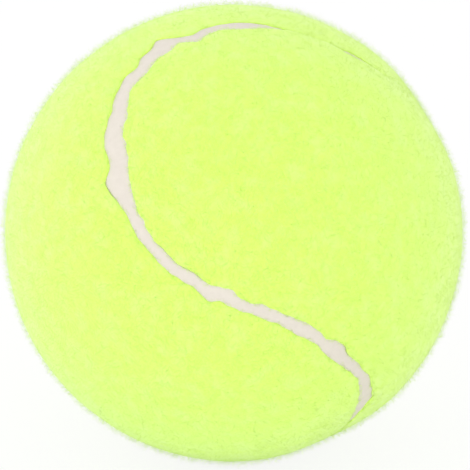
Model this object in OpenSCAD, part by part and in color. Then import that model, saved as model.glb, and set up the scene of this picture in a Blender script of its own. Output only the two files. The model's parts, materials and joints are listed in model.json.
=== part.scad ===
/* [Core] */
// Outside diameter of the rubber core
core_d = 60; // [56:0.5:64]
// Wall of the rubber core
core_wall = 3.5; // [2.5:0.1:5]
// Thickness of the cement ring between the two core cups
joint_t = 0.2; // [0.1:0.05:0.5]

/* [Felt cover] */
// Coat of cement between the core and the felt
cement_t = 0.2; // [0.1:0.05:0.4]
// Woven cotton backing of the felt
backing_t = 0.6; // [0.4:0.05:1]
// Raised wool and nylon nap on the backing
nap_t = 2.2; // [1.5:0.1:2.8]

/* [Seam] */
// Width of the gap between the two felt panels
seam_w = 2.5; // [1.5:0.1:3.5]
// How far the seam lies below the top of the nap
seam_depth = 0.7; // [0.4:0.05:1]
// Radius to which the nap's edge is rounded along the seam
shoulder_r = 0.9; // [0.5:0.05:1.2]
// Angle by which each end of a panel leans away from the panel's waist
lobe_lean = 4; // [1:0.5:8]

/* [How the ball lies] */
// Turn of the seam about the X axis
seam_pitch = -61; // [-180:1:180]
// Turn of the seam about the Y axis
seam_roll = -34; // [-180:1:180]
// Turn of the seam about the Z axis
seam_yaw = 72; // [-180:1:180]

/* [Hidden] */
$fn = 96;

// Radii of the layers, from the inside of the core to the top of the nap
core_r = core_d / 2;
core_in_r = core_r - core_wall;
cement_r = core_r + cement_t;
backing_r = cement_r + backing_t;
ball_r = backing_r + nap_t;
seam_top_r = ball_r - seam_depth;

// Each panel ends in two round lobes. The four lobes' circles touch their
// neighbours halfway between them, and their arcs are the line of the seam.
lobe_ang = acos(cos(lobe_lean) * cos(45));
arc_ang = 180 + 2 * atan(sin(lobe_lean));

// A lobe is parted from the other panel inside the gap, a quarter of its width
// short of the seam's middle line
part_ang = lobe_ang - asin(seam_w / 4 / core_r);

// The nap's rounded edge meets its top at a slight angle, this high above it
shoulder_rise = shoulder_r / 8;
// Overrun of a cut past the faces that it goes through
overrun = nap_t;
// Where a cone that parts the panels starts, well inside the core
cone_start = core_r / 2;
cone_end = ball_r + overrun;
// Each arc stops just short of its neighbour, and a straight stretch this much wider carries the gap across
crossing_ease = seam_w / 50;
crossing_l = 2 * sqrt(core_r * crossing_ease / 2);
arc_stop = asin(crossing_l / 8 / core_r);

// Puts a shape that is drawn about the +Z axis on one panel's two lobes
module on_lobe_pair() {
    for (side = [0, 180]) rotate([0, 90 + lobe_lean, side]) children();
}

// The same for the other panel, which is the first one turned over
module turned_over() {
    rotate([180, 0, 90]) children();
}

// Lays the seam as the ball is seen
module as_it_lies() {
    rotate([seam_pitch, seam_roll, seam_yaw]) children();
}

// Cuts the gap along the closed line of the seam: four arcs round the lobes, and a short
// straight stretch across each place where two arcs meet, a hair larger than they are
module along_seam(rounded) {
    on_lobe_pair() {
        seam_arc() gap_section(rounded, 0);
        for (end = [-1, 1]) crossing(end) gap_section(rounded, crossing_ease);
    }
    turned_over() on_lobe_pair() seam_arc() gap_section(rounded, 0);
}

// A section is drawn with the ball's centre at its origin and the seam's middle on the Y axis
module seam_arc() {
    span = arc_ang - 2 * arc_stop;
    rotate([0, 0, -span / 2]) rotate_extrude(angle = span) rotate(-lobe_ang) children();
}

module crossing(end) {
    rotate([90, 0, end * arc_ang / 2])
        linear_extrude(height = crossing_l, center = true) rotate(-lobe_ang) children();
}

// The gap, with the corners of both nap edges rounded off where that is asked for
module gap_section(rounded, ease) {
    half_w = seam_w / 2 + ease;
    edge_x = half_w + shoulder_r;
    edge_y = sqrt(ball_r * ball_r - edge_x * edge_x) + shoulder_rise - shoulder_r;
    low = cone_start - ease;
    high = cone_end + ease;
    translate([-half_w, low]) square([2 * half_w, high - low]);
    if (rounded) difference() {
        translate([-edge_x, edge_y]) square([2 * edge_x, high - edge_y]);
        for (side = [-1, 1]) translate([side * edge_x, edge_y]) circle(r = shoulder_r);
    }
}

// A hollow ball
module shell(inner_r, outer_r) {
    difference() {
        sphere(r = outer_r);
        sphere(r = inner_r);
    }
}

// The cone that a lobe fills
module lobe_cone() {
    translate([0, 0, cone_start])
        cylinder(r1 = cone_start * tan(part_ang), r2 = cone_end * tan(part_ang), h = cone_end - cone_start);
}

// The first panel's side of the seam: its lobes, and its waist between the other panel's lobes
module panel_side() {
    on_lobe_pair() lobe_cone();
    difference() {
        translate([-cone_end, -cone_end, 0]) cube([2 * cone_end, 2 * cone_end, cone_end]);
        turned_over() on_lobe_pair() lobe_cone();
    }
}

// One layer of a panel, cut along the seam. Its child is the panel's side of the seam.
// The layer's poles lie at the ball's left and right, clear of the seam's lobes.
module panel_layer(inner_r, outer_r, rounded) {
    difference() {
        intersection() {
            rotate([0, 90, 0]) shell(inner_r, outer_r);
            as_it_lies() children();
        }
        as_it_lies() along_seam(rounded);
    }
}

// Half of the hollow rubber core, standing on the joint's cement
module core_cup() {
    intersection() {
        shell(core_in_r, core_r);
        translate([-core_r - overrun, -core_r - overrun, joint_t / 2])
            cube([2 * (core_r + overrun), 2 * (core_r + overrun), core_r + overrun]);
    }
}

module core_cup_upper() {
    color("#3a3836") core_cup();
}

module core_cup_lower() {
    color("#3a3836") rotate([180, 0, 0]) core_cup();
}

// The thin ring of cement that joins the cups
module core_joint_cement() {
    color("#8c7a55") intersection() {
        shell(core_in_r, core_r);
        translate([0, 0, -joint_t / 2]) cylinder(r = core_r + overrun, h = joint_t);
    }
}

module panel_one_cement() {
    color("#cdbf9a") panel_layer(core_r, cement_r, false) panel_side();
}

module panel_two_cement() {
    color("#cdbf9a") panel_layer(core_r, cement_r, false) turned_over() panel_side();
}

module panel_one_backing() {
    color("#e6e2cf") panel_layer(cement_r, backing_r, false) panel_side();
}

module panel_two_backing() {
    color("#e6e2cf") panel_layer(cement_r, backing_r, false) turned_over() panel_side();
}

module panel_one_nap() {
    color("#e2fe7c") panel_layer(backing_r, ball_r, true) panel_side();
}

module panel_two_nap() {
    color("#e2fe7c") panel_layer(backing_r, ball_r, true) turned_over() panel_side();
}

// The bead of cured rubber that fills the gap, from the core to just below the nap
module seam_strip() {
    color("#ebe8d4") intersection() {
        rotate([0, 90, 0]) shell(core_r, seam_top_r);
        as_it_lies() along_seam(false);
    }
}

core_cup_upper();
core_cup_lower();
core_joint_cement();
panel_one_cement();
panel_two_cement();
panel_one_backing();
panel_two_backing();
panel_one_nap();
panel_two_nap();
seam_strip();
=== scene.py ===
"""A tennis ball: a hollow rubber core of two cups, under two felt panels with a rubber seam between them."""

import json
import math

import bpy
import numpy as np
from mathutils import Euler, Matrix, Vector

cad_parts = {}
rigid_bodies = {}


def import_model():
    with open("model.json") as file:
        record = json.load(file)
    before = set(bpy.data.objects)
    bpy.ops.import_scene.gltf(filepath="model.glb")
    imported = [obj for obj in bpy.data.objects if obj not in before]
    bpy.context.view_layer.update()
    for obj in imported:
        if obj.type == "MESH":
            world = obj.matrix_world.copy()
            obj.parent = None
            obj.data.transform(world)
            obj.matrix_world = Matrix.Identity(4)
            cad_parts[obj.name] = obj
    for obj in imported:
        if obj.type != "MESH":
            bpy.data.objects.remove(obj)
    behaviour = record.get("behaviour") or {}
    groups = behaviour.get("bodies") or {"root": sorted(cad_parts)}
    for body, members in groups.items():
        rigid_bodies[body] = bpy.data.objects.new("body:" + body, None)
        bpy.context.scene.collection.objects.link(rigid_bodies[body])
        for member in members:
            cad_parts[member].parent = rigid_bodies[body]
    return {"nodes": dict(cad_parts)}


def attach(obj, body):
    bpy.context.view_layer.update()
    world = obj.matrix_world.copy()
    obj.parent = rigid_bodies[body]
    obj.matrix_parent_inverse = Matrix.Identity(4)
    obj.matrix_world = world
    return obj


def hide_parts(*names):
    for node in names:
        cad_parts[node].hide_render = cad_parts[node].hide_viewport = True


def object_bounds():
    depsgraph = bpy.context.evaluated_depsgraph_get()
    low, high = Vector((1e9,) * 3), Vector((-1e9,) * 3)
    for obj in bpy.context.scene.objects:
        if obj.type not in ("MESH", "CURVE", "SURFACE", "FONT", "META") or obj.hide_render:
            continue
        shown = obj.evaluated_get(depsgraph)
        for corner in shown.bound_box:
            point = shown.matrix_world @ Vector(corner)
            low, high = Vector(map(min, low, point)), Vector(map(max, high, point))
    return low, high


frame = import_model()
cad_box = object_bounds()

# The photograph's view. The ball fills the frame, seen from a little above and from so far off that
# nothing of its roundness is stretched. Lengths are in metres, and mm is one millimetre.

mm = 0.001
photo_px = 470
ball_centre_px = (233.8, 233.0)
ball_outline_px = 230.6
outline_r = 33.0 * mm
camera_raise = math.radians(25)
camera_far = 30 * outline_r

back = Vector((0, -math.cos(camera_raise), math.sin(camera_raise)))
focal_px = ball_outline_px / math.tan(math.asin(outline_r / camera_far))
camera_data = bpy.data.cameras.new("photo_view")
camera_data.sensor_width = 36
camera_data.lens = focal_px / photo_px * camera_data.sensor_width
camera_data.shift_x = (photo_px / 2 - ball_centre_px[0]) / photo_px
camera_data.shift_y = (ball_centre_px[1] - photo_px / 2) / photo_px
camera_data.clip_start = outline_r
camera_data.clip_end = 100 * outline_r
camera = bpy.data.objects.new("photo_view", camera_data)
camera.location = back * camera_far
camera.rotation_euler = (-back).to_track_quat("-Z", "Y").to_euler()
bpy.context.scene.collection.objects.link(camera)
bpy.context.scene.camera = camera
bpy.context.scene.view_settings.view_transform = "Standard"

# The white sweep that the ball lies on, in a white room. A soft lamp stands at the upper left and another low
# in front, and two behind light the rim. To the camera the sweep is white paper, and it keeps a little of
# the ball's shadow.


def hex_colour(code):
    """An sRGB colour such as #E2FE7C as the linear colour that Blender works in."""
    values = [int(code[i : i + 2], 16) / 255 for i in (1, 3, 5)]
    linear = [v / 12.92 if v <= 0.04045 else ((v + 0.055) / 1.055) ** 2.4 for v in values]
    return (*linear, 1.0)


def add(tree, kind, inputs=None, **settings):
    """Adds a node, sets its settings, and fills or links its inputs, which are named or numbered."""
    made = tree.nodes.new(kind)
    for name, value in settings.items():
        setattr(made, name, value)
    for key, value in (inputs or {}).items():
        if isinstance(value, bpy.types.NodeSocket):
            tree.links.new(value, made.inputs[key])
        else:
            made.inputs[key].default_value = value
    return made


def new_material(name):
    """An empty material of this name, and its node tree."""
    material = bpy.data.materials.new(name)
    material.use_nodes = True
    material.node_tree.nodes.clear()
    return material, material.node_tree


def camera_sees(tree):
    """1 for the camera, mirrors and glass, and 0 for light that falls on other things."""
    path = add(tree, "ShaderNodeLightPath").outputs
    mirrored = {0: path["Is Camera Ray"], 1: path["Is Glossy Ray"]}
    seen = add(tree, "ShaderNodeMath", mirrored, operation="MAXIMUM").outputs[0]
    through = {0: seen, 1: path["Is Transmission Ray"]}
    return add(tree, "ShaderNodeMath", through, operation="MAXIMUM").outputs[0]


sweep_half = 2.0
floor_z = cad_box[0][2]
sweep_corners = [(x * sweep_half, y * sweep_half, floor_z) for x, y in ((-1, -1), (1, -1), (1, 1), (-1, 1))]
sweep_mesh = bpy.data.meshes.new("paper_sweep")
sweep_mesh.from_pydata(sweep_corners, [], [(0, 1, 2, 3)])
sweep = bpy.data.objects.new("paper_sweep", sweep_mesh)
bpy.context.scene.collection.objects.link(sweep)

# Matt white paper. How much of the ball's shadow the camera still sees on it is its share.
plain_white = (1, 1, 1, 1)
paper_white = (0.95, 0.95, 0.95, 1)
shadow_share = 0.12
paper, tree = new_material("white_paper")
matt = add(tree, "ShaderNodeBsdfDiffuse", {"Color": paper_white})
white = add(tree, "ShaderNodeEmission", {"Color": plain_white, "Strength": 1.0})
share = add(tree, "ShaderNodeMath", {0: camera_sees(tree), 1: 1 - shadow_share}, operation="MULTIPLY")
paper_mix = add(tree, "ShaderNodeMixShader", {0: share.outputs[0], 1: matt.outputs[0], 2: white.outputs[0]})
add(tree, "ShaderNodeOutputMaterial", {"Surface": paper_mix.outputs[0]})
sweep_mesh.materials.append(paper)

room_level = 1.03
world = bpy.data.worlds.new("white_room")
world.use_nodes = True
tree = world.node_tree
tree.nodes.clear()
lighting = add(tree, "ShaderNodeBackground", {"Color": plain_white, "Strength": room_level})
backdrop = add(tree, "ShaderNodeBackground", {"Color": plain_white, "Strength": 1.0})
seen_room = {0: camera_sees(tree), 1: lighting.outputs[0], 2: backdrop.outputs[0]}
room_mix = add(tree, "ShaderNodeMixShader", seen_room)
add(tree, "ShaderNodeOutputWorld", {"Surface": room_mix.outputs[0]})
bpy.context.scene.world = world

# Each lamp is a soft disk that points at the ball: its place and its width in metres, and its power in watts
lamps = [
    ("soft_box_left", (-0.42, -0.5, 0.5), 0.6, 0.35),
    ("rim_box_left", (-0.6, 0.35, 0.15), 0.4, 0.5),
    ("rim_box_right", (0.6, 0.35, 0.15), 0.4, 0.15),
    ("soft_box_low", (-0.15, -0.68, 0.0), 0.3, 0.8),
]
for name, spot, width, power in lamps:
    lamp_data = bpy.data.lights.new(name, "AREA")
    lamp_data.shape = "DISK"
    lamp_data.size = width
    lamp_data.energy = power
    lamp = bpy.data.objects.new(name, lamp_data)
    lamp.location = Vector(spot)
    lamp.rotation_euler = (-lamp.location).to_track_quat("-Z", "Y").to_euler()
    bpy.context.scene.collection.objects.link(lamp)

# The two cups of the core and the cement in their joint. Each cup is pressed in a mould from dark filled
# rubber and buffed outside so that cement grips it, and the joint is cured shut. None of it shows.


def rough_solid(name, dark, light, grain, roughness, bump, bump_depth):
    """A matt material whose colour wanders between two, with a grain of the given size."""
    material, tree = new_material(name)
    place = add(tree, "ShaderNodeTexCoord").outputs["Object"]
    noise = add(tree, "ShaderNodeTexNoise", {"Vector": place, "Scale": 1 / grain, "Detail": 4.0}).outputs[0]
    tones = {0: noise, 6: hex_colour(dark), 7: hex_colour(light)}
    colour = add(tree, "ShaderNodeMix", tones, data_type="RGBA").outputs[2]
    bumped = {"Height": noise, "Strength": bump, "Distance": bump_depth}
    relief = add(tree, "ShaderNodeBump", bumped).outputs[0]
    finish = {"Base Color": colour, "Roughness": roughness, "IOR": 1.5, "Normal": relief}
    shader = add(tree, "ShaderNodeBsdfPrincipled", finish)
    add(tree, "ShaderNodeOutputMaterial", {"Surface": shader.outputs[0]})
    return material


def dress(node, material):
    """Gives a CAD node its material."""
    for slot in frame["nodes"][node].material_slots:
        slot.material = material


# Filled natural rubber, buffed: near black and dull, with the wheel's marks about half a millimetre apart
core_rubber = rough_solid(
    "buffed_core_rubber", "#2B2928", "#45423E",
    grain=0.5 * mm, roughness=0.85, bump=0.5, bump_depth=0.05 * mm,
)
dress("core_cup_upper", core_rubber)
dress("core_cup_lower", core_rubber)
# Cured rubber cement: tan and faintly glossy
joint_cement = rough_solid(
    "cured_joint_cement", "#7D6C49", "#9A875F",
    grain=0.8 * mm, roughness=0.5, bump=0.3, bump_depth=0.03 * mm,
)
dress("core_joint_cement", joint_cement)

# The cement and the woven backing under each panel. The panel's back is coated with rubber cement and laid on
# the core, and its backing is an undyed cotton weave that the nap is raised on. The nap hides both.

# Rubber cement in a thin cured coat: pale tan, with brush marks a millimetre or so across
cover_cement = rough_solid(
    "cured_cover_cement", "#C3B48C", "#D6C9A4",
    grain=1.2 * mm, roughness=0.45, bump=0.3, bump_depth=0.03 * mm,
)
# A wave texture has 20 bands in a length of 2 pi at a scale of 1
thread_pitch = 0.987 * mm
thread_relief = 0.1 * mm


def woven_cotton():
    """Plain-woven undyed cotton: matt, with raised threads about a millimetre apart."""
    material, tree = new_material("undyed_cotton_weave")
    place = add(tree, "ShaderNodeTexCoord").outputs["Object"]
    threads = {"Vector": place, "Scale": 2 * math.pi / (20 * thread_pitch)}
    waves = []
    for axis in ("X", "Y", "Z"):
        waves.append(add(tree, "ShaderNodeTexWave", threads, bands_direction=axis).outputs[0])
    pair = add(tree, "ShaderNodeMath", {0: waves[0], 1: waves[1]}, operation="MAXIMUM").outputs[0]
    weave = add(tree, "ShaderNodeMath", {0: pair, 1: waves[2]}, operation="MULTIPLY").outputs[0]
    tones = {0: weave, 6: hex_colour("#CFC8AF"), 7: hex_colour("#ECE7D6")}
    colour = add(tree, "ShaderNodeMix", tones, data_type="RGBA").outputs[2]
    bumped = {"Height": weave, "Strength": 0.6, "Distance": thread_relief}
    relief = add(tree, "ShaderNodeBump", bumped).outputs[0]
    shader = add(tree, "ShaderNodeBsdfPrincipled", {"Base Color": colour, "Roughness": 0.9, "Normal": relief})
    add(tree, "ShaderNodeOutputMaterial", {"Surface": shader.outputs[0]})
    return material


cotton_weave = woven_cotton()
for panel in ("panel_one", "panel_two"):
    dress(panel + "_cement", cover_cement)
    dress(panel + "_backing", cotton_weave)

# The line of the seam, which the rubber bead follows and both panels are cut to. Four round lobes touch
# halfway between each other, and the line goes half round each. On this ball the panels were laid a little
# off it and cut unevenly, so the line also carries how far off it each panel's edge lies.

lobe_lean = math.radians(4)
seam_turn = Euler([math.radians(a) for a in (-61, -34, 72)]).to_matrix()
line_r = cad_box[1][0]
points_per_arc = 400

# How far each panel's cut edge lies from the line, in millimetres: a place along the line, as a share of the
# whole, and the distance there towards its own panel. Where one is negative the panel has crossed the line,
# and where the two add up to less than nothing the felts are pressed together.
edge_one_mm = [
    (0.004, -3.6), (0.012, -2.3), (0.02, -2.1), (0.028, -3.3), (0.036, -3.4), (0.045, -2.9), (0.06, -2.2),
    (0.075, -0.7), (0.09, 0.6), (0.1, 1.1), (0.16, 1.3), (0.25, 0.8), (0.36, 1.5), (0.44, 1.0),
    (0.52, 0.7), (0.6, 0.8), (0.633, 0.8), (0.641, 0.9), (0.652, 0.3), (0.667, -0.3), (0.682, 0.7),
    (0.7, 1.3), (0.706, 0.75), (0.718, 1.1), (0.73, 0.7), (0.74, 1.1), (0.748, 0.85), (0.755, 0.8),
    (0.76, 0.6), (0.765, 1.5), (0.775, 0.6), (0.79, 1.0), (0.81, 0.95), (0.822, 0.8), (0.829, 1.5),
    (0.838, 2.7), (0.846, 1.1), (0.85, 1.1), (0.858, 2.3), (0.874, 1.7), (0.881, 2.2), (0.896, 2.5),
    (0.9, 1.2), (0.906, 2.4), (0.914, 2.3), (0.92, 3.9), (0.926, 0.4), (0.931, -0.9), (0.938, -0.3),
    (0.945, -0.4), (0.951, -0.4), (0.959, -0.7), (0.965, -1.6), (0.975, -2.5), (0.984, -3.7),
    (0.991, -4.3), (0.998, -4.4),
]
edge_two_mm = [
    (0.006, 2.9), (0.015, 3.2), (0.022, 2.8), (0.03, 2.1), (0.038, 1.4), (0.045, 0.9), (0.06, 0.2),
    (0.08, 0.8), (0.2, 1.4), (0.3, 0.8), (0.42, 1.3), (0.5, 0.8), (0.57, 1.0), (0.6, 0.2), (0.622, -0.6),
    (0.631, 0.2), (0.637, 1.1), (0.643, 2.1), (0.652, 2.1), (0.665, 1.9), (0.672, 1.45), (0.685, 1.1),
    (0.695, 1.7), (0.705, 0.9), (0.717, 1.1), (0.73, 0.9), (0.74, 1.15), (0.748, 0.6), (0.759, 1.65),
    (0.767, 0.9), (0.775, 1.35), (0.785, 0.95), (0.798, 0.75), (0.81, 0.8), (0.825, 1.4), (0.838, 1.55),
    (0.848, 1.95), (0.855, 1.8), (0.861, 1.0), (0.87, 1.5), (0.885, 0.1), (0.9, 1.25), (0.911, 0.85),
    (0.916, 1.6), (0.921, 0.8), (0.926, 2.0), (0.93, 3.3), (0.935, 2.5), (0.945, 2.3), (0.953, 3.3),
    (0.965, 3.3), (0.975, 3.2), (0.985, 2.9), (0.992, 2.4), (0.999, 2.35),
]
eased_points = 5
# The raggedness is a sum of waves, from few to many round the line, and the more there are the shallower
ragged_depth = 0.07 * mm
fewest_waves, most_waves, waves_apart = 15, 150, 9
shallower_power = 0.4


def through(knots, places):
    """A closed run of values in metres through the knots, with its corners eased over a few points."""
    shares, values = zip(*knots)
    run = np.interp(places, shares, values, period=1)
    round_off = np.hanning(2 * eased_points + 1)
    wrapped = np.concatenate([run[-eased_points:], run, run[:eased_points]])
    return np.convolve(wrapped, round_off / round_off.sum(), "valid") * mm


def ragged(places, seed):
    """Small uneven waves along the line, from about 20 mm down to 2 mm long, the short ones shallower."""
    draw = np.random.default_rng(seed)
    total = np.zeros_like(places)
    for waves in range(fewest_waves, most_waves, waves_apart):
        wave = draw.normal() * np.sin(2 * np.pi * (waves * places + draw.random()))
        total += wave * (fewest_waves / waves) ** shallower_power
    return total * ragged_depth


def seam_line():
    """The line's points on the nap's surface, in order, and the directions across it towards panel one."""
    # A half circle about a lobe that leans down from +X, one about a lobe that leans up from +Y, and the same
    # two again half a turn on
    lobe = np.arccos(np.cos(lobe_lean) * np.cos(np.pi / 4))
    reach = np.pi / 2 + np.arctan(np.sin(lobe_lean))
    turn = np.linspace(-reach, reach, points_per_arc + 1)
    high = np.full_like(turn, np.cos(lobe))
    round_z = np.stack([np.sin(lobe) * np.cos(turn), np.sin(lobe) * np.sin(turn), high], 1)
    lean = np.array(Euler((0, np.pi / 2 + lobe_lean, 0)).to_matrix())
    first = round_z @ lean.T
    second = (first[:, [1, 0, 2]] * [1, 1, -1])[::-1]
    half_way = np.concatenate([first[:-1], second[:-1]])
    points = np.concatenate([half_way, half_way * [-1, -1, 1]]) @ np.array(seam_turn).T
    along = np.roll(points, -1, 0) - np.roll(points, 1, 0)
    across = np.cross(points, along)
    return points * line_r, across / np.linalg.norm(across, axis=1)[:, None]


line_points, line_across = seam_line()
count = len(line_points)
places = np.arange(count) / count
line_values = {
    "reach_one": through(edge_one_mm, places) + ragged(places, seed=5),
    "reach_two": through(edge_two_mm, places) + ragged(places, seed=11),
}
line_mesh = bpy.data.meshes.new("seam_line")
line_mesh.from_pydata([tuple(p) for p in line_points], [(i, (i + 1) % count) for i in range(count)], [])
line_mesh.attributes.new("across", "FLOAT_VECTOR", "POINT").data.foreach_set("vector", line_across.ravel())
for name, values in line_values.items():
    line_mesh.attributes.new(name, "FLOAT", "POINT").data.foreach_set("value", values)
seam_guide = bpy.data.objects.new("seam_line", line_mesh)
bpy.context.scene.collection.objects.link(seam_guide)

# The two felt panels. Each is a dog-bone of needled wool and nylon on a cotton weave, cut flat and stretched
# over the core. The nap is shorn to one height and a little woolly. The mould has pressed it down along the
# seam, where its cut edges roll under.

# The felt's top away from the seam, its foot on the backing, and where its rolled edge turns straight down
nap_top_r = 32.7 * mm
nap_foot_r = max(v.co.length for v in frame["nodes"]["panel_one_backing"].data.vertices)
nap_edge_r = 32.08 * mm
# The rolled edge goes down in rings, each at a share of the roll's width in from the edge
roll_w = 1.5 * mm
roll_shares = (0.72, 0.48, 0.28, 0.13, 0.04, 0.0)
pressed, pressed_w = 0.45 * mm, 9 * mm
woolly, woolly_size = 0.14 * mm, 3.2 * mm
lumpy, lumpy_size = 0.3 * mm, 11 * mm
weld = 0.001 * mm
ball_splits = 7
# A face at the skin's rim sticks out where two of its three edges have no face beyond them, so that its
# edges belong to fewer faces each than this
faces_per_edge = 1.5
trim_rounds = 3


def socket_named(tree, name):
    """The identifier of the tree's input of this name."""
    sockets = tree.interface.items_tree
    return next(item.identifier for item in sockets if item.name == name and item.in_out == "INPUT")


def new_geometry_tree(name, inputs):
    """A Geometry Nodes tree with a geometry input, a geometry output and the named inputs."""
    tree = bpy.data.node_groups.new(name, "GeometryNodeTree")
    tree.is_modifier = True
    tree.interface.new_socket("Geometry", in_out="INPUT", socket_type="NodeSocketGeometry")
    for title, kind in inputs.items():
        tree.interface.new_socket(title, in_out="INPUT", socket_type="NodeSocket" + kind)
    tree.interface.new_socket("Geometry", in_out="OUTPUT", socket_type="NodeSocketGeometry")
    return tree, add(tree, "NodeGroupInput").outputs


def grow(name, tree, values):
    """Runs a tree with its inputs set, and gives the result as a plain mesh object at the origin."""
    maker = bpy.data.objects.new(name + "_maker", bpy.data.meshes.new(name + "_start"))
    bpy.context.scene.collection.objects.link(maker)
    modifier = maker.modifiers.new("made", "NODES")
    modifier.node_group = tree
    for title, value in values.items():
        modifier[socket_named(tree, title)] = value
    done = maker.evaluated_get(bpy.context.evaluated_depsgraph_get())
    mesh = bpy.data.meshes.new_from_object(done)
    mesh.name = name
    bpy.data.objects.remove(maker)
    piece = bpy.data.objects.new(name, mesh)
    bpy.context.scene.collection.objects.link(piece)
    return piece


def felt_panel_tree(reach_name):
    """Cuts a ball's skin to the seam, rolls its edge down to the backing and closes it underneath."""
    kinds = {
        "Seam line": "Object", "Side": "Float", "Line radius": "Float", "Top radius": "Float",
        "Foot radius": "Float", "Edge radius": "Float", "Roll width": "Float", "Pressed depth": "Float",
        "Pressed width": "Float", "Woolliness": "Float", "Woolly size": "Float", "Lumpiness": "Float",
        "Lumpy size": "Float", "Splits": "Int", "Material": "Material",
    }
    tree, given = new_geometry_tree("felt_panel_" + reach_name, kinds)
    fine_ball = {"Radius": given["Line radius"], "Subdivisions": given["Splits"]}
    ball = add(tree, "GeometryNodeMeshIcoSphere", fine_ball).outputs[0]
    line = add(tree, "GeometryNodeObjectInfo", {"Object": given["Seam line"]}).outputs["Geometry"]
    place = add(tree, "GeometryNodeInputPosition").outputs[0]

    # Each place's foot on the line, the way across the line there, and how far off it the panel's edge lies
    nearest = add(tree, "GeometryNodeSampleNearest", {"Geometry": line, "Sample Position": place}).outputs[0]
    named = {"Name": "across"}
    across = add(tree, "GeometryNodeInputNamedAttribute", named, data_type="FLOAT_VECTOR").outputs[0]
    reach = add(tree, "GeometryNodeInputNamedAttribute", {"Name": reach_name}, data_type="FLOAT").outputs[0]
    sampled = []
    for value, kind in ((place, "FLOAT_VECTOR"), (across, "FLOAT_VECTOR"), (reach, "FLOAT")):
        wanted = {"Geometry": line, "Value": value, "Index": nearest}
        sampled.append(add(tree, "GeometryNodeSampleIndex", wanted, data_type=kind).outputs[0])
    foot, across, reach = sampled

    # How far inside the panel's edge each place is. What is outside goes, as do single faces that stick out
    sided = {0: across, "Scale": given["Side"]}
    towards = add(tree, "ShaderNodeVectorMath", sided, operation="SCALE").outputs[0]
    away = add(tree, "ShaderNodeVectorMath", {0: place, 1: foot}, operation="SUBTRACT").outputs[0]
    lean = add(tree, "ShaderNodeVectorMath", {0: away, 1: towards}, operation="DOT_PRODUCT").outputs["Value"]
    side = add(tree, "ShaderNodeMath", {0: lean}, operation="SIGN").outputs[0]
    far = add(tree, "ShaderNodeVectorMath", {0: away}, operation="LENGTH").outputs["Value"]
    signed = add(tree, "ShaderNodeMath", {0: side, 1: far}, operation="MULTIPLY").outputs[0]
    inside = add(tree, "ShaderNodeMath", {0: signed, 1: reach}, operation="SUBTRACT").outputs[0]
    limit = {"A": inside, "B": given["Roll width"]}
    beyond = add(tree, "FunctionNodeCompare", limit, data_type="FLOAT", operation="LESS_THAN").outputs[0]
    trimmed = {"Geometry": ball, "Selection": beyond}
    skin = add(tree, "GeometryNodeDeleteGeometry", trimmed, domain="FACE").outputs[0]
    sides = add(tree, "GeometryNodeInputMeshEdgeNeighbors").outputs[0]
    for _ in range(trim_rounds):
        mean = add(tree, "GeometryNodeFieldOnDomain", {"Value": sides}, data_type="FLOAT", domain="EDGE")
        few = {"A": mean.outputs[0], "B": faces_per_edge}
        ear = add(tree, "FunctionNodeCompare", few, data_type="FLOAT", operation="LESS_THAN").outputs[0]
        trimmed = {"Geometry": skin, "Selection": ear}
        skin = add(tree, "GeometryNodeDeleteGeometry", trimmed, domain="FACE").outputs[0]
    kept = {}
    for title, value, kind in (
        ("foot", foot, "FLOAT_VECTOR"),
        ("towards", towards, "FLOAT_VECTOR"),
        ("reach", reach, "FLOAT"),
        ("inland", inside, "FLOAT"),
    ):
        stored = {"Geometry": skin, "Name": title, "Value": value}
        skin = add(tree, "GeometryNodeStoreNamedAttribute", stored, data_type=kind).outputs[0]
        kept[title] = add(tree, "GeometryNodeInputNamedAttribute", {"Name": title}, data_type=kind).outputs[0]
    wool = 0.0
    for size, depth in (("Woolly size", "Woolliness"), ("Lumpy size", "Lumpiness")):
        scale = add(tree, "ShaderNodeMath", {0: 1.0, 1: given[size]}, operation="DIVIDE").outputs[0]
        waves = add(tree, "ShaderNodeTexNoise", {"Vector": place, "Scale": scale, "Detail": 2.0}).outputs[0]
        wave = add(tree, "ShaderNodeMath", {0: waves, 1: 0.5}, operation="SUBTRACT").outputs[0]
        deepened = {0: wave, 1: given[depth], 2: wool}
        wool = add(tree, "ShaderNodeMath", deepened, operation="MULTIPLY_ADD").outputs[0]

    def nap_r(inward):
        """The nap's radius this far in from its edge: lowest at the edge, and full past the pressed band."""
        band = {"Value": inward, "From Min": 0.0, "From Max": given["Pressed width"]}
        band |= {"To Min": given["Pressed depth"], "To Max": 0.0}
        press = add(tree, "ShaderNodeMapRange", band, interpolation_type="SMOOTHSTEP").outputs[0]
        lowered = {0: given["Top radius"], 1: press}
        return add(tree, "ShaderNodeMath", lowered, operation="SUBTRACT").outputs[0]

    def spot(inward, radius):
        """The place this far in from the felt's edge, at this radius."""
        step = add(tree, "ShaderNodeMath", {0: kept["reach"], 1: inward}, operation="ADD").outputs[0]
        stepped = {0: kept["towards"], "Scale": step}
        stride = add(tree, "ShaderNodeVectorMath", stepped, operation="SCALE").outputs[0]
        point = add(tree, "ShaderNodeVectorMath", {0: kept["foot"], 1: stride}, operation="ADD").outputs[0]
        unit = add(tree, "ShaderNodeVectorMath", {0: point}, operation="NORMALIZE").outputs[0]
        return add(tree, "ShaderNodeVectorMath", {0: unit, "Scale": radius}, operation="SCALE").outputs[0]

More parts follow.
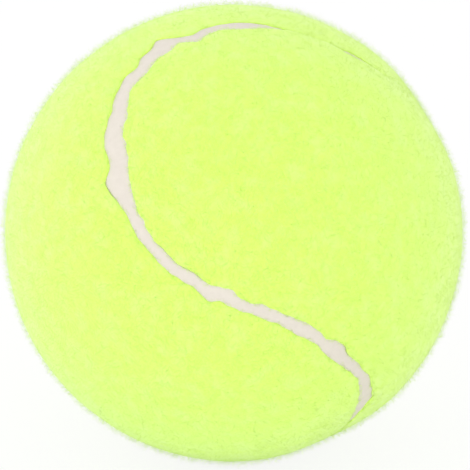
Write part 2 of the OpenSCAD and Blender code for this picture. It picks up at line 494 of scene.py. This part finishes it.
    # The skin's own rim is drawn to an even line. The skin then goes up to the nap's top, and a copy of it,
    # turned over, down to the backing.
    free = add(tree, "FunctionNodeCompare", {"A": sides, "B": 1}, data_type="INT", operation="EQUAL")
    on_edges = {"Value": free.outputs[0]}
    rim = add(tree, "GeometryNodeFieldOnDomain", on_edges, data_type="BOOLEAN", domain="EDGE").outputs[0]
    evened = {"Geometry": skin, "Selection": rim, "Position": spot(given["Roll width"], given["Line radius"])}
    skin = add(tree, "GeometryNodeSetPosition", evened).outputs[0]
    unit = add(tree, "ShaderNodeVectorMath", {0: place}, operation="NORMALIZE").outputs[0]
    topped = {0: nap_r(kept["inland"]), 1: wool}
    height = add(tree, "ShaderNodeMath", topped, operation="ADD").outputs[0]
    raised = add(tree, "ShaderNodeVectorMath", {0: unit, "Scale": height}, operation="SCALE").outputs[0]
    top = add(tree, "GeometryNodeSetPosition", {"Geometry": skin, "Position": raised}).outputs[0]
    lowest = {0: unit, "Scale": given["Foot radius"]}
    sunk = add(tree, "ShaderNodeVectorMath", lowest, operation="SCALE").outputs[0]
    underside = add(tree, "GeometryNodeSetPosition", {"Geometry": skin, "Position": sunk}).outputs[0]
    underside = add(tree, "GeometryNodeFlipFaces", {"Mesh": underside}).outputs[0]

    # The edge rolls down a quarter round in rings, then turns straight down and back to meet the underside
    levels = {0: nap_r(0.0), 1: given["Edge radius"]}
    drop = add(tree, "ShaderNodeMath", levels, operation="SUBTRACT").outputs[0]
    selected = rim
    for share in roll_shares:
        part = {0: given["Roll width"], 1: share}
        inward = add(tree, "ShaderNodeMath", part, operation="MULTIPLY").outputs[0]
        fall = 1 - math.sqrt(1 - (1 - share) ** 2)
        rolled = {0: drop, 1: -fall, 2: nap_r(inward)}
        lower = add(tree, "ShaderNodeMath", rolled, operation="MULTIPLY_ADD").outputs[0]
        fading = {0: wool, 1: share, 2: lower}
        radius = add(tree, "ShaderNodeMath", fading, operation="MULTIPLY_ADD").outputs[0]
        pulled = {"Mesh": top, "Selection": selected, "Offset Scale": 0.0}
        ring = add(tree, "GeometryNodeExtrudeMesh", pulled, mode="EDGES").outputs
        selected = ring["Top"]
        moved = {"Geometry": ring["Mesh"], "Selection": selected, "Position": spot(inward, radius)}
        top = add(tree, "GeometryNodeSetPosition", moved).outputs[0]
        marked = {"Geometry": top, "Selection": selected, "Name": "inland", "Value": inward}
        top = add(tree, "GeometryNodeStoreNamedAttribute", marked, data_type="FLOAT").outputs[0]
    for inward in (0.0, given["Roll width"]):
        pulled = {"Mesh": top, "Selection": selected, "Offset Scale": 0.0}
        ring = add(tree, "GeometryNodeExtrudeMesh", pulled, mode="EDGES").outputs
        selected = ring["Top"]
        target = spot(inward, given["Foot radius"])
        moved = {"Geometry": ring["Mesh"], "Selection": selected, "Position": target}
        top = add(tree, "GeometryNodeSetPosition", moved).outputs[0]
    both = add(tree, "GeometryNodeJoinGeometry")
    tree.links.new(top, both.inputs[0])
    tree.links.new(underside, both.inputs[0])
    welded = {"Geometry": both.outputs[0], "Distance": weld}
    whole = add(tree, "GeometryNodeMergeByDistance", welded).outputs[0]
    smooth = add(tree, "GeometryNodeSetShadeSmooth", {"Geometry": whole}).outputs[0]
    real = add(tree, "GeometryNodeRealizeInstances", {"Geometry": smooth}).outputs[0]
    dressed = {"Geometry": real, "Material": given["Material"]}
    finished = add(tree, "GeometryNodeSetMaterial", dressed).outputs[0]
    add(tree, "NodeGroupOutput", {0: finished})
    return tree


# Dyed wool and nylon nap: fluorescent yellow-green and quite matt, with fibrous mottling a third of a
# millimetre across over wider, fainter clouds where the nap lies differently
mottle_size = 0.32 * mm
cloud_size = 2.4 * mm
cloud_strength = 0.5
felt_down = 0.45


def downy(shader, down):
    """Wool's down catches grazing light, more where there is more of it, and has almost no gloss."""
    shader.inputs["Sheen Weight"].default_value = down
    shader.inputs["Sheen Roughness"].default_value = 0.6
    shader.inputs["Specular IOR Level"].default_value = 0.15


def nap_felt():
    """The felt's own surface, under its loose fibres."""
    material, tree = new_material("needled_wool_and_nylon")
    place = add(tree, "ShaderNodeTexCoord").outputs["Object"]
    grain = {"Vector": place, "Scale": 1 / mottle_size, "Detail": 3.0}
    noise = add(tree, "ShaderNodeTexNoise", grain).outputs[0]
    contrast = {"Value": noise, "From Min": 0.3, "From Max": 0.62}
    mottle = add(tree, "ShaderNodeMapRange", contrast).outputs[0]
    tones = {0: mottle, 6: hex_colour("#D9FC66"), 7: hex_colour("#DBFF72")}
    body = add(tree, "ShaderNodeMix", tones, data_type="RGBA").outputs[2]
    grain = {"Vector": place, "Scale": 1 / cloud_size, "Detail": 2.0}
    noise = add(tree, "ShaderNodeTexNoise", grain).outputs[0]
    contrast = {"Value": noise, "From Min": 0.45, "From Max": 0.7, "To Max": cloud_strength}
    cloud = add(tree, "ShaderNodeMapRange", contrast).outputs[0]
    tones = {0: cloud, 6: body, 7: hex_colour("#DFFF8E")}
    colour = add(tree, "ShaderNodeMix", tones, data_type="RGBA").outputs[2]
    shader = add(tree, "ShaderNodeBsdfPrincipled", {"Base Color": colour, "Roughness": 0.95, "IOR": 1.45})
    downy(shader, felt_down)
    add(tree, "ShaderNodeOutputMaterial", {"Surface": shader.outputs[0]})
    return material


felt = nap_felt()
panels = {}
for panel, side, reach_name in (("panel_one", 1.0, "reach_one"), ("panel_two", -1.0, "reach_two")):
    values = {
        "Seam line": seam_guide, "Side": side, "Line radius": line_r, "Top radius": nap_top_r,
        "Foot radius": nap_foot_r, "Edge radius": nap_edge_r, "Roll width": roll_w, "Pressed depth": pressed,
        "Pressed width": pressed_w, "Woolliness": woolly, "Woolly size": woolly_size, "Lumpiness": lumpy,
        "Lumpy size": lumpy_size, "Splits": ball_splits, "Material": felt,
    }
    panels[panel] = grow(panel + "_felt", felt_panel_tree(reach_name), values)

# The seam, a bead of pale rubber that was cured in the gap between the panels. It fills the gap from the
# core up to just under the nap, and tucks under both felt edges, further where they meet. In a few places
# it has shrunk back from an edge.

bead_top_r = 32.05 * mm
bead_dome = 0.1 * mm
bead_foot_r = min(v.co.length for v in frame["nodes"]["seam_strip"].data.vertices)
bead_foot_half_w = 1.2 * mm
bead_uneven, bead_lump_size = 0.1 * mm, 2.5 * mm
# How far the bead goes under each felt edge, in millimetres, at places along the line as above. Where one
# is negative the bead falls short of the edge.
tuck_one_mm = [
    (0.012, 0.35), (0.022, 0.35), (0.036, 1.4), (0.06, 1.4), (0.08, 0.35), (0.1, 0.35), (0.35, -0.1),
    (0.5, 0.35), (0.71, 0.35), (0.82, 0.35), (0.833, -0.1), (0.845, 0.3), (0.975, 0.35), (0.99, 1.4),
    (0.999, 1.4),
]
tuck_two_mm = [
    (0.012, 0.35), (0.022, 0.3), (0.036, 1.4), (0.06, 1.4), (0.08, 0.3), (0.1, -0.1), (0.2, 0.35),
    (0.6, 0.35), (0.68, 0.2), (0.69, -0.12), (0.7, 0.3), (0.765, 0.3), (0.775, -0.1), (0.8, -0.1),
    (0.812, 0.3), (0.85, 0.05), (0.87, 0.3), (0.975, 0.35), (0.99, 1.4), (0.999, 1.4),
]
for name, knots in (("tuck_one", tuck_one_mm), ("tuck_two", tuck_two_mm)):
    line_mesh.attributes.new(name, "FLOAT", "POINT").data.foreach_set("value", through(knots, places))

# The bead's section: how far across, from -1 at panel two to 1 at panel one, its radius, and how far it
# spreads from the foot's width to the gap's
crown_steps = 6
crown = [i / crown_steps - 1 for i in range(2 * crown_steps + 1)]
section = [(share, bead_top_r - bead_dome * share**2, 1.0) for share in crown]
section += [(1.0, nap_foot_r, 0.0), (1.0, bead_foot_r, 0.0), (0.0, bead_foot_r, 0.0)]
section += [(-1.0, bead_foot_r, 0.0), (-1.0, nap_foot_r, 0.0)]
section_sides = [(i, (i + 1) % len(section)) for i in range(len(section))]
section_mesh = bpy.data.meshes.new("bead_section")
section_corners = [(share * mm, 0, level - bead_foot_r) for share, level, _ in section]
section_mesh.from_pydata(section_corners, section_sides, [])
for column, title in enumerate(("share", "level", "spread")):
    values = [row[column] for row in section]
    section_mesh.attributes.new(title, "FLOAT", "POINT").data.foreach_set("value", values)
section_guide = bpy.data.objects.new("bead_section", section_mesh)
bpy.context.scene.collection.objects.link(section_guide)


def seam_bead_tree():
    """Sweeps the section along the seam and spreads it to the edges of both panels."""
    kinds = {
        "Seam line": "Object", "Section": "Object", "Foot half width": "Float", "Unevenness": "Float",
        "Lump size": "Float", "Material": "Material",
    }
    tree, given = new_geometry_tree("seam_bead", kinds)
    line = add(tree, "GeometryNodeObjectInfo", {"Object": given["Seam line"]}).outputs["Geometry"]
    section = add(tree, "GeometryNodeObjectInfo", {"Object": given["Section"]}).outputs["Geometry"]
    place = add(tree, "GeometryNodeInputPosition").outputs[0]
    stored = {"Geometry": line, "Name": "foot", "Value": place}
    line = add(tree, "GeometryNodeStoreNamedAttribute", stored, data_type="FLOAT_VECTOR").outputs[0]
    rail = add(tree, "GeometryNodeMeshToCurve", {0: line}).outputs[0]
    profile = add(tree, "GeometryNodeMeshToCurve", {0: section}).outputs[0]
    swept = add(tree, "GeometryNodeCurveToMesh", {"Curve": rail, "Profile Curve": profile}).outputs[0]
    kept = {
        name: add(tree, "GeometryNodeInputNamedAttribute", {"Name": name}, data_type="FLOAT").outputs[0]
        for name in ("share", "level", "spread", "reach_one", "reach_two", "tuck_one", "tuck_two")
    }
    foot = add(tree, "GeometryNodeInputNamedAttribute", {"Name": "foot"}, data_type="FLOAT_VECTOR").outputs[0]
    named = {"Name": "across"}
    across = add(tree, "GeometryNodeInputNamedAttribute", named, data_type="FLOAT_VECTOR").outputs[0]
    gaps = {}
    for panel in ("one", "two"):
        reached = {0: kept["reach_" + panel], 1: kept["tuck_" + panel]}
        gaps[panel] = add(tree, "ShaderNodeMath", reached, operation="ADD").outputs[0]
    middle = {"A": kept["share"], "B": 0.0}
    on_one = add(tree, "FunctionNodeCompare", middle, data_type="FLOAT", operation="GREATER_THAN").outputs[0]
    either = {"Switch": on_one, "False": gaps["two"], "True": gaps["one"]}
    gap = add(tree, "GeometryNodeSwitch", either, input_type="FLOAT").outputs[0]
    widths = {0: kept["spread"], 2: given["Foot half width"], 3: gap}
    half_w = add(tree, "ShaderNodeMix", widths, data_type="FLOAT").outputs[0]
    step = add(tree, "ShaderNodeMath", {0: half_w, 1: kept["share"]}, operation="MULTIPLY").outputs[0]
    stride = add(tree, "ShaderNodeVectorMath", {0: across, "Scale": step}, operation="SCALE").outputs[0]
    point = add(tree, "ShaderNodeVectorMath", {0: foot, 1: stride}, operation="ADD").outputs[0]
    unit = add(tree, "ShaderNodeVectorMath", {0: point}, operation="NORMALIZE").outputs[0]
    scale = add(tree, "ShaderNodeMath", {0: 1.0, 1: given["Lump size"]}, operation="DIVIDE").outputs[0]
    lumps = add(tree, "ShaderNodeTexNoise", {"Vector": point, "Scale": scale, "Detail": 2.0}).outputs[0]
    lump = add(tree, "ShaderNodeMath", {0: lumps, 1: 0.5}, operation="SUBTRACT").outputs[0]
    lump = add(tree, "ShaderNodeMath", {0: lump, 1: given["Unevenness"]}, operation="MULTIPLY").outputs[0]
    domed = {0: lump, 1: kept["spread"], 2: kept["level"]}
    level = add(tree, "ShaderNodeMath", domed, operation="MULTIPLY_ADD").outputs[0]
    target = add(tree, "ShaderNodeVectorMath", {0: unit, "Scale": level}, operation="SCALE").outputs[0]
    placed = add(tree, "GeometryNodeSetPosition", {"Geometry": swept, "Position": target}).outputs[0]
    smooth = add(tree, "GeometryNodeSetShadeSmooth", {"Geometry": placed}).outputs[0]
    real = add(tree, "GeometryNodeRealizeInstances", {"Geometry": smooth}).outputs[0]
    dressed = {"Geometry": real, "Material": given["Material"]}
    finished = add(tree, "GeometryNodeSetMaterial", dressed).outputs[0]
    add(tree, "NodeGroupOutput", {0: finished})
    return tree


# Pale cured rubber, filled with whiting: off-white and dull, with a skin that is faintly pitted
bead_rubber = rough_solid(
    "cured_seam_rubber", "#D9D1C6", "#E5DDD3",
    grain=0.9 * mm, roughness=0.62, bump=0.35, bump_depth=0.05 * mm,
)
values = {
    "Seam line": seam_guide, "Section": section_guide, "Foot half width": bead_foot_half_w,
    "Unevenness": bead_uneven, "Lump size": bead_lump_size, "Material": bead_rubber,
}
bead = grow("seam_bead", seam_bead_tree(), values)
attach(bead, "root")
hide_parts("seam_strip")

# The nap's fibres. Most lie matted in the surface, felted together in swirls. Some stand up from it and make
# the soft edge that the ball has against the light, and the cut edges fray a little over the seam. Each is a
# bent, tapered strand of wool.

matted_l, matted_thick, matted_rise = 1.3 * mm, 0.04 * mm, 0.01 * mm
raised_l, raised_thick, raised_rise = 0.9 * mm, 0.024 * mm, 0.03 * mm
frayed_l, frayed_thick = 1.4 * mm, 0.04 * mm
lowest_lift, highest_lift = 0.2 * mm, 1.0 * mm
fray_lift_share = 1 / 8
fibre_flatness = 0.25
fibre_kinds = 6
# A strand bends sideways by about this share of its length, and its length varies between the two shares.
# It lies a fifth of its thickness deep in the felt, and is sown at sizes from the smallest to the largest.
bend_share = 0.14
shortest, longest = 0.8, 1.1
sunk_part = 5
smallest, largest = 0.75, 1.2


def strand(name, seed, length, thick, rings, rise, lift):
    """One fibre along X: three-sided, pointed at both ends, bent sideways and arched, its far end lifted."""
    draw = np.random.default_rng(seed)
    share = np.linspace(0, 1, rings + 2)
    bend = draw.normal(0, bend_share, 2)
    along = (share - 0.5) * length * draw.uniform(shortest, longest)
    sideways = length * (bend[0] * np.sin(np.pi * share) + bend[1] * np.sin(2 * np.pi * share))
    upward = rise * np.sin(np.pi * share) + lift * share**1.5 - thick / sunk_part
    spine = np.stack([along, sideways, upward], 1)
    verts, faces = [spine[0]], []
    for point in spine[1:-1]:
        for corner in range(3):
            angle = 2 * np.pi * corner / 3 + np.pi / 2
            verts.append(point + [0, thick / 2 * np.cos(angle), thick / 2 * fibre_flatness * np.sin(angle)])
    verts.append(spine[-1])
    last = len(verts) - 1
    for corner in range(3):
        after = (corner + 1) % 3
        faces.append((0, 1 + after, 1 + corner))
        faces.append((last, last - 3 + corner, last - 3 + after))
        for ring in range(1, 3 * rings - 3, 3):
            faces.append((ring + corner, ring + after, ring + 3 + after, ring + 3 + corner))
    mesh = bpy.data.meshes.new(name)
    mesh.from_pydata([tuple(v) for v in verts], [], faces)
    return bpy.data.objects.new(name, mesh)


# Single fibres of the same wool: most take the dye alike, and some are paler
fibre_tints = [(0.0, "#DAFC68"), (0.3, "#DDFF70"), (1.0, "#E1FF8C")]
fibre_down = 0.25
tint_seed = 7
swirl_size, swirl_turns = 5 * mm, 2


def dyed_fibre():
    """One fibre's surface, tinted by the fibre's own value."""
    material, tree = new_material("dyed_wool_fibre")
    tint = add(tree, "ShaderNodeAttribute", attribute_name="tint", attribute_type="GEOMETRY").outputs["Fac"]
    ramp = add(tree, "ShaderNodeValToRGB", {0: tint})
    while len(ramp.color_ramp.elements) < len(fibre_tints):
        ramp.color_ramp.elements.new(0.5)
    for stop, (where, code) in zip(ramp.color_ramp.elements, fibre_tints):
        stop.position = where
        stop.color = hex_colour(code)
    finish = {"Base Color": ramp.outputs[0], "Roughness": 0.9, "IOR": 1.45}
    shader = add(tree, "ShaderNodeBsdfPrincipled", finish)
    downy(shader, fibre_down)
    add(tree, "ShaderNodeOutputMaterial", {"Surface": shader.outputs[0]})
    return material


def fibre_tree():
    """Strews strands over a band of the felt, turned in swirls, with a tint for each."""
    kinds = {
        "Felt": "Object", "Strands": "Collection", "Per area": "Float", "Underside radius": "Float",
        "Keep off": "Float", "Band": "Float", "Swirl size": "Float", "Scatter": "Float", "Seed": "Int",
        "Material": "Material",
    }
    tree, given = new_geometry_tree("nap_fibres", kinds)
    felt_skin = add(tree, "GeometryNodeObjectInfo", {"Object": given["Felt"]}).outputs["Geometry"]
    place = add(tree, "GeometryNodeInputPosition").outputs[0]
    height = add(tree, "ShaderNodeVectorMath", {0: place}, operation="LENGTH").outputs["Value"]
    inland = add(tree, "GeometryNodeInputNamedAttribute", {"Name": "inland"}, data_type="FLOAT").outputs[0]
    napped_part = True
    for value, limit, sense in (
        (height, "Underside radius", "GREATER_THAN"),
        (inland, "Keep off", "GREATER_THAN"),
        (inland, "Band", "LESS_THAN"),
    ):
        compared = {"A": value, "B": given[limit]}
        kept = add(tree, "FunctionNodeCompare", compared, data_type="FLOAT", operation=sense).outputs[0]
        both = {0: napped_part, 1: kept}
        napped_part = add(tree, "FunctionNodeBooleanMath", both, operation="AND").outputs[0]
    strewn = {"Mesh": felt_skin, "Selection": napped_part}
    strewn |= {"Density": given["Per area"], "Seed": given["Seed"]}
    points = add(tree, "GeometryNodeDistributePointsOnFaces", strewn).outputs["Points"]
    swirl_scale = add(tree, "ShaderNodeMath", {0: 1.0, 1: given["Swirl size"]}, operation="DIVIDE").outputs[0]
    swirl = add(tree, "ShaderNodeTexNoise", {"Vector": place, "Scale": swirl_scale, "Detail": 2.0}).outputs[0]
    swirled = {0: swirl, 1: swirl_turns * 2 * math.pi}
    lie = add(tree, "ShaderNodeMath", swirled, operation="MULTIPLY").outputs[0]
    either_way = {2: -1.0, 3: 1.0, "Seed": given["Seed"]}
    stray = add(tree, "FunctionNodeRandomValue", either_way, data_type="FLOAT").outputs[1]
    strayed = {0: stray, 1: given["Scatter"], 2: lie}
    angle = add(tree, "ShaderNodeMath", strayed, operation="MULTIPLY_ADD").outputs[0]
    turn = add(tree, "FunctionNodeAxisAngleToRotation", {"Axis": (0, 0, 1), "Angle": angle}).outputs[0]
    upright = add(tree, "FunctionNodeAlignRotationToVector", {"Vector": place}, axis="Z").outputs[0]
    turned = {0: upright, 1: turn}
    rotation = add(tree, "FunctionNodeRotateRotation", turned, rotation_space="LOCAL").outputs[0]
    sizes = {2: smallest, 3: largest, "Seed": given["Seed"]}
    size = add(tree, "FunctionNodeRandomValue", sizes, data_type="FLOAT").outputs[1]
    strands = add(tree, "GeometryNodeCollectionInfo", {0: given["Strands"], 1: True, 2: True}).outputs[0]
    sown = {"Points": points, "Instance": strands, "Pick Instance": True}
    sown |= {"Rotation": rotation, "Scale": size}
    fibres = add(tree, "GeometryNodeInstanceOnPoints", sown).outputs[0]
    tints = {2: 0.0, 3: 1.0, "Seed": tint_seed}
    tint = add(tree, "FunctionNodeRandomValue", tints, data_type="FLOAT").outputs[1]
    stored = {"Geometry": fibres, "Name": "tint", "Value": tint}
    tinted = add(tree, "GeometryNodeStoreNamedAttribute", stored, data_type="FLOAT", domain="INSTANCE")
    real = add(tree, "GeometryNodeRealizeInstances", {"Geometry": tinted.outputs[0]}).outputs[0]
    smooth = add(tree, "GeometryNodeSetShadeSmooth", {"Geometry": real}).outputs[0]
    dressed = {"Geometry": smooth, "Material": given["Material"]}
    finished = add(tree, "GeometryNodeSetMaterial", dressed).outputs[0]
    add(tree, "NodeGroupOutput", {0: finished})
    return tree


# Each set of strands: its name and first seed, their length, thickness, rings and arch, and how much of the
# lift they take
strand_kinds = [
    ("matted", 0, matted_l, matted_thick, 3, matted_rise, 0.0),
    ("raised", 50, raised_l, raised_thick, 2, raised_rise, 1.0),
    ("frayed", 90, frayed_l, frayed_thick, 2, raised_rise, fray_lift_share),
]
strand_sets = []
for kind, first_seed, length, thick, rings, rise, lift_share in strand_kinds:
    strands = bpy.data.collections.new(kind + "_strands")
    for i in range(fibre_kinds):
        lift = lowest_lift + (highest_lift - lowest_lift) * i / (fibre_kinds - 1)
        made = strand(f"{kind}_strand_{i}", first_seed + i, length, thick, rings, rise, lift * lift_share)
        strands.objects.link(made)
    strand_sets.append(strands)
matted, raised, frays = strand_sets
fibre = dyed_fibre()
fibres_for = fibre_tree()
# Each layer: its strands, how many to a square metre, from where to where in from the cut edge, and how far
# they stray from the swirls, in radians
everywhere = 100 * mm
layers = [(matted, 1.5e6, 0.12 * mm, everywhere, 1.1)] * 2
layers += [(raised, 1.9e6, 0.05 * mm, everywhere, 3.1)] * 3
layers += [(frays, 1.3e7, 0.02 * mm, 0.35 * mm, 3.1)]
napped = {}
for panel, skin in panels.items():
    napped[panel] = []
    for layer, (strands, per_area, keep_off, band, scatter) in enumerate(layers):
        values = {
            "Felt": skin, "Strands": strands, "Per area": per_area,
            "Underside radius": (nap_foot_r + nap_edge_r) / 2, "Keep off": keep_off, "Band": band,
            "Swirl size": swirl_size, "Scatter": scatter, "Seed": layer + 10 * len(napped),
            "Material": fibre,
        }
        piece = grow(f"{panel}_fibres_{layer}", fibres_for, values)
        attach(piece, "root")
        napped[panel].append(piece)

# Each panel was cut flat from felt cloth, as long as the arc that it covers and as wide as its round lobe,
# and stretched over the core. Its felt joins the root body, and the CAD nap that it replaces is hidden.

for panel, skin in panels.items():
    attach(skin, "root")
    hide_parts(panel + "_nap")

# What only helped to make the pieces goes
for guide in (seam_guide, section_guide, *(made for strands in strand_sets for made in strands.objects)):
    bpy.data.objects.remove(guide)
for strands in strand_sets:
    bpy.data.collections.remove(strands)
